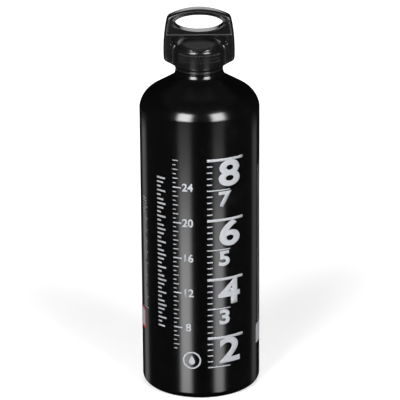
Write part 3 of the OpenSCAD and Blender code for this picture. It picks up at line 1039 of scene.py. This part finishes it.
def flatMesh(data, across, height, wide=1.0):
    # a filled outline as a flat mesh in X and Y at its place in the print, in millimetres
    holder = linked("flat", data)
    graph = bpy.context.evaluated_depsgraph_get()
    mesh = bpy.data.meshes.new_from_object(holder.evaluated_get(graph))
    bpy.data.objects.remove(holder)
    mesh.transform(Matrix.Translation((across, height, 0)) @ Matrix.Diagonal((wide, 1, 1, 1)))
    return mesh


def bend(point, depth):
    turn = point.x / printing["radius"]
    reach = printing["radius"] - depth
    return Vector((reach * math.sin(turn), -reach * math.cos(turn), point.y)) * mm


def printedPiece(name, meshes, material=ink):
    work = bmesh.new()
    for mesh in meshes:
        work.from_mesh(mesh)
    bmesh.ops.remove_doubles(work, verts=work.verts, dist=0.002)
    low = min(vert.co.x for vert in work.verts)
    high = max(vert.co.x for vert in work.verts)
    for i in range(math.floor(low / printing["cut"]) + 1, math.ceil(high / printing["cut"])):
        everything = work.verts[:] + work.edges[:] + work.faces[:]
        middle = (i * printing["cut"], 0, 0)
        bmesh.ops.bisect_plane(work, geom=everything, plane_co=middle, plane_no=(1, 0, 0))
    bmesh.ops.recalc_face_normals(work, faces=work.faces)
    for face in work.faces:
        if face.normal.z < 0:
            face.normal_flip()
    grown = bmesh.ops.extrude_face_region(work, geom=work.faces[:], use_keep_orig=True)
    upper = {item for item in grown["geom"] if isinstance(item, bmesh.types.BMVert)}
    for vert in work.verts:
        vert.co = bend(vert.co, 0 if vert in upper else printing["layer"])
    bmesh.ops.recalc_face_normals(work, faces=work.faces)
    mesh = bpy.data.meshes.new(name)
    work.to_mesh(mesh)
    work.free()
    mesh.materials.append(material)
    piece = linked(name, outward(mesh))
    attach(piece, "bottle")


def makeNumbers():
    big = {"size": 24.0, "bold": 0.7, "wide": 1.35, "across": 20.5, "drop": 10.6}
    small = {"size": 14.0, "bold": 0.5, "wide": 1.25, "across": 16.5, "drop": 6.8}
    fine = {"size": 7.5, "bold": 0.2, "wide": 1.0, "across": -8.4}
    meshes = []
    for level in range(2, 9):
        form = small if level % 2 else big
        height = printing["empty"] + level * printing["decilitre"] - form["drop"]
        meshes.append(flatMesh(textShape(level, form), form["across"], height, form["wide"]))
    for level in range(8, 28, 4):
        height = printing["empty"] + level * printing["ounce"]
        meshes.append(flatMesh(textShape(level, fine), fine["across"], height, fine["wide"]))
    printedPiece("levelNumbers", meshes)


def makeDrop():
    sign = {"across": -6.2, "height": 28.7, "ring": (6.2, 5.2), "steps": 64,
            "drop": 2.1, "low": -0.9, "tip": 3.6, "turn": (150, 390)}
    turns = [2 * math.pi * i / sign["steps"] for i in range(sign["steps"])]
    loops = [[(radius * math.cos(t), radius * math.sin(t)) for t in turns] for radius in sign["ring"]]
    loops.append(arc((0, sign["low"]), sign["drop"], *sign["turn"], 24) + [(0, sign["tip"])])
    printedPiece("dropSign", [flatMesh(outlineShape(loops), sign["across"], sign["height"])])


def roundedBox(wide, high, corner):
    x = wide / 2 - corner
    y = high / 2 - corner
    centres = ((x, y), (-x, y), (-x, -y), (x, -y))
    arcs = [arc(centre, corner, 90 * i, 90 * i + 90, 6) for i, centre in enumerate(centres)]
    return sum(arcs, [])


def makeLabels():
    # two plain round-cornered patches at the sides, the left one with a plain red border
    white = {"wide": 19.0, "high": 14.0, "corner": 1.5, "across": 57.5, "height": 37.5}
    red = {"wide": 13.0, "high": 15.0, "corner": 3.0, "border": 1.6, "across": -54.5, "height": 49.0}
    outer = roundedBox(red["wide"], red["high"], red["corner"])
    shrink = 2 * red["border"]
    inner = roundedBox(red["wide"] - shrink, red["high"] - shrink, red["corner"] - red["border"])
    box = roundedBox(white["wide"], white["high"], white["corner"])
    patches = [flatMesh(outlineShape([box]), white["across"], white["height"])]
    patches.append(flatMesh(outlineShape([inner]), red["across"], red["height"]))
    printedPiece("plainPatches", patches)
    printedPiece("redBorder", [flatMesh(outlineShape([outer, inner]), red["across"], red["height"])], redInk)


for name, numbers in scales.items():
    makeScale(name, numbers)
makeNumbers()
makeDrop()
makeLabels()
print("print ready")


# Studio: pale floor, two tall soft lamps in front, two small ones behind, a white backdrop
tallLamp = {"distance": 1.1, "width": 0.80, "low": -0.60, "high": 1.05, "soft": 0.09,
            "places": (0.0, 0.165, 0.197, 0.22, 0.26, 0.30, 0.51, 0.55, 0.92, 0.95)}
smallLamp = {"distance": 0.30, "low": -0.16, "high": 0.10, "soft": 0.02, "reach": (0.05, 0.05),
             "places": (0.0, 1.0), "levels": (1.0, 1.0)}
lamps = {
    # glow is the radiance where levels, at their places from the low end up, are 1
    "leftLamp": {**tallLamp, "turn": -29, "glow": 22, "reach": (0.20, 0.28),
                 "levels": (0.31, 0.30, 0.22, 0.13, 0.022, 0.014, 0.014, 0.84, 0.84, 0.0)},
    "rightLamp": {**tallLamp, "turn": 36, "glow": 20, "reach": (0.18, 0.26),
                  "levels": (0.26, 0.25, 0.18, 0.10, 0.018, 0.011, 0.011, 0.84, 0.84, 0.0)},
    "leftCard": {**smallLamp, "turn": -129, "width": 0.13, "glow": 0.5},
    "rightCard": {**smallLamp, "turn": 124, "width": 0.12, "glow": 0.3},
}
studio = {
    "floorSize": 6.0,
    "floorGlow": 0.9,
    "floorNear": 0.4,        # the glow round the foot, lower so that the object's shadow shows there
    "floorRise": (0.01, 0.16),  # squares of the distances between which it changes
    "backdrop": 1.9,
    "front": 0.001,
    "sides": 0.04,
    "top": 0.06,
    # soft edges in the direction's parts: away from the viewer, up, and aside squared
    "away": (0.25, 0.40),
    "up": (0.10, 0.28),
    "aside": (0.058, 0.02),
    "overhead": (0.6, 0.8),
}


def makeFloor(spec):
    bpy.ops.mesh.primitive_plane_add(size=spec["floorSize"], location=(0, 0, -0.0002))
    floor = bpy.context.object
    floor.name = "studioFloor"
    finish = Finish("floorPaper", {"Roughness": 0.9, "Base Color": colour(0.8, 0.8, 0.8)})
    x, y = finish.axes(finish.place)[:2]
    far = finish.rise(x * x + y * y, *spec["floorRise"])
    level = spec["floorNear"] + far * (spec["floorGlow"] - spec["floorNear"])
    finish.set("Emission Color", finish.vector(level, level, level))
    finish.set("Emission Strength", finish.add("ShaderNodeLightPath", outlet="Is Camera Ray"))
    floor.data.materials.append(finish.material)
    floor.visible_shadow = False
    floor.visible_glossy = False


def makeLamps(specs):
    for name, lamp in specs.items():
        data = bpy.data.lights.new(name, "AREA")
        data.shape = "RECTANGLE"
        data.size = lamp["width"]
        data.size_y = lamp["high"] - lamp["low"]
        data.energy = lamp["glow"] * math.pi * data.size * data.size_y
        data.use_nodes = True
        graph = Graph()
        graph.tree = data.node_tree
        across, along = graph.axes(graph.add("ShaderNodeNewGeometry", outlet="Parametric"))[:2]
        stops = list(zip(lamp["places"], lamp["levels"]))
        level = graph.add("ShaderNodeValToRGB", {"stops": stops}, {0: along})
        narrow, broad = lamp["reach"]
        edge = narrow + along * (broad - narrow)
        away = (across - 0.5) * lamp["width"]
        away = away.sum("ABSOLUTE", away) - edge
        fade = graph.rise(away, lamp["soft"], -lamp["soft"])
        feed(graph.tree, graph.tree.nodes["Emission"].inputs["Strength"], level * fade)
        obj = linked(name, data)
        turn = math.radians(lamp["turn"])
        middle = (lamp["high"] + lamp["low"]) / 2
        obj.location = (lamp["distance"] * math.sin(turn), -lamp["distance"] * math.cos(turn), middle)
        aim = Vector((0, 0, middle)) - obj.location
        obj.rotation_euler = aim.to_track_quat("-Z", "Y").to_euler()
        obj.visible_camera = False


def makeWorld(spec):
    # white to the camera; to the object white behind it, a little light above, nearly dark elsewhere
    world = bpy.data.worlds.new("studioWorld")
    scene.world = world
    world.use_nodes = True
    graph = Graph()
    graph.tree = world.node_tree
    background = graph.tree.nodes["Background"]
    x, y, z = graph.axes(graph.add("ShaderNodeTexCoord", outlet="Generated"))
    seen = graph.add("ShaderNodeLightPath", outlet="Is Camera Ray")
    behind = graph.rise(y, *spec["away"]) * graph.rise(z, *spec["up"]) * graph.rise(x * x, *spec["aside"])
    above = graph.rise(z, *spec["overhead"])
    dim = spec["front"] + x * x * spec["sides"] + above * spec["top"] + behind * spec["backdrop"]
    feed(graph.tree, background.inputs["Strength"], seen + (1 - seen) * dim)
    background.inputs["Color"].default_value = colour(1, 1, 1)


makeFloor(studio)
makeLamps(lamps)
makeWorld(studio)
scene.view_settings.view_transform = "Standard"
print("studio ready")
